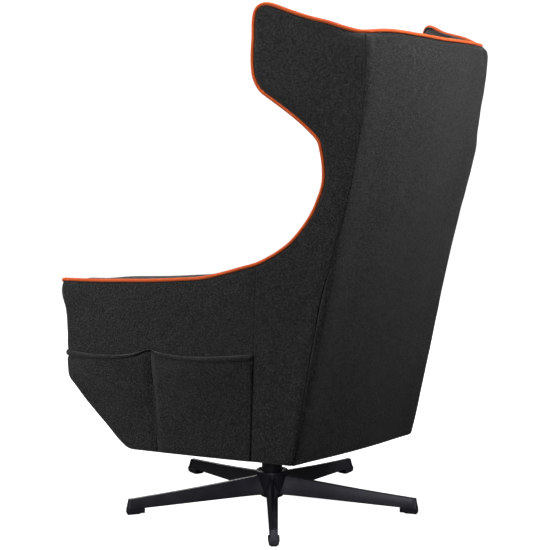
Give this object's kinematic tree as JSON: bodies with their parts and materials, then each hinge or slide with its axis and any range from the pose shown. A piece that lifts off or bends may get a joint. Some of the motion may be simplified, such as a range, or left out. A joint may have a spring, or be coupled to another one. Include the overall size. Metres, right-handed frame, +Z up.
{
  "type": "wingback swivel lounge chair",
  "caption": "Wingback swivel lounge chair with a faceted upholstered shell, contrast piping, side pockets and a star base with gas lift and tilt",
  "frame": {"origin": "on the floor, on the swivel axis of the star base", "axes": "+X to the sitter's left, -Y to the front, +Z up"},
  "size_m": [0.81, 0.8003, 1.1201],
  "materials": {
    "satin_black_metal": "satin black powder coat with a fine texture",
    "black_plastic": "moulded nylon, satin black, fine grain",
    "bush_plastic": "pale acetal",
    "rubber_buffer": "matt black rubber",
    "bright_steel": "ground and zinc-plated steel",
    "black_steel": "black e-coated pressed steel",
    "plywood": "bare birch plywood and sawn softwood",
    "foam": "cream upholstery foam",
    "black_cloth": "thin black lining cloth and woven webbing",
    "orange_piping": "orange woven cord piping",
    "charcoal_fabric": "charcoal basket-weave upholstery wool"
  },
  "bodies": {
    "base": {"base_star": "satin_black_metal", "foot_cap_1": "black_plastic", "foot_cap_2": "black_plastic", "foot_cap_3": "black_plastic", "foot_cap_4": "black_plastic", "foot_cap_5": "black_plastic", "foot_pads": "rubber_buffer", "lift_tube": "satin_black_metal", "guide_bush": "bush_plastic", "thrust_bearing": "bright_steel"},
    "rod": {"piston_rod": "bright_steel", "rod_clip": "bright_steel", "bump_stop": "rubber_buffer"},
    "carriage": {"lift_cylinder": "satin_black_metal", "mechanism_housing": "black_steel", "pivot_shaft": "bright_steel", "tilt_bumpers": "rubber_buffer", "lever_pin": "bright_steel", "tilt_spring": "black_steel"},
    "valve": {"valve_pin": "bright_steel"},
    "lever": {"lever_rod": "black_steel", "lever_grip": "black_plastic"},
    "tension": {"tension_bolt": "bright_steel"},
    "knob": {"tension_knob": "black_plastic"},
    "seat": {"seat_plate": "black_steel", "pivot_bushes": "bush_plastic", "plate_screws": "bright_steel", "mount_rails": "plywood", "front_rail": "plywood", "rear_rail": "plywood", "side_rail_left": "plywood", "side_rail_right": "plywood", "front_board": "plywood", "front_roll": "foam", "seat_webbing": "black_cloth", "seat_deck": "black_cloth", "side_frame_left": "plywood", "side_frame_right": "plywood", "back_frame": "plywood", "edge_roll_left": "foam", "edge_roll_right": "foam", "top_roll": "foam", "side_pad_left": "charcoal_fabric", "side_pad_right": "charcoal_fabric", "back_cushion": "charcoal_fabric", "seat_cushion": "charcoal_fabric", "arm_facing_left": "charcoal_fabric", "arm_facing_right": "charcoal_fabric", "front_side_cover_left": "charcoal_fabric", "front_side_cover_right": "charcoal_fabric", "rear_side_cover_left": "charcoal_fabric", "rear_side_cover_right": "charcoal_fabric", "back_cover": "charcoal_fabric", "apron": "charcoal_fabric", "dust_cover": "black_cloth", "front_pocket_left": "charcoal_fabric", "front_pocket_right": "charcoal_fabric", "rear_pocket_left": "charcoal_fabric", "rear_pocket_right": "charcoal_fabric", "rim_piping": "orange_piping"}
  },
  "joints": [
    {"name": "swivel", "type": "hinge", "parent": "base", "child": "rod", "pos_m": [0, 0, 0], "axis": [0, 0, 1], "continuous": true},
    {"name": "height", "type": "slide", "parent": "rod", "child": "carriage", "axis": [0, 0, 1], "range_m": [0, 0.06]},
    {"name": "tilt", "type": "hinge", "parent": "carriage", "child": "seat", "pos_m": [0, -0.034, 0.238], "axis": [-1, 0, 0], "range_deg": [0, 12], "stiffness_Nm_per_rad": 150, "springref_deg": -17.19, "deforming": ["tilt_spring"]},
    {"name": "bolt_pivot", "type": "hinge", "parent": "seat", "child": "tension", "pos_m": [0, -0.074, 0.2613], "axis": [-1, 0, 0], "range_deg": [-12, 0]},
    {"name": "knob_turn", "type": "hinge", "parent": "tension", "child": "knob", "pos_m": [0, -0.074, 0.143], "axis": [0, 0, 1], "range_deg": [0, 1080]},
    {"name": "lever_lift", "type": "hinge", "parent": "carriage", "child": "lever", "pos_m": [-0.052, 0, 0.2543], "axis": [0, 1, 0], "range_deg": [0, 2.5], "stiffness_Nm_per_rad": 10, "springref_deg": -3.44},
    {"name": "valve_press", "type": "slide", "parent": "carriage", "child": "valve", "axis": [0, 0, -1], "range_m": [0, 0.0025]}
  ],
  "couplings": [
    {"joint": "bolt_pivot", "follows": "tilt", "ratio": -1},
    {"joint": "valve_press", "follows": "lever_lift", "m_per_rad": 0.052}
  ]
}
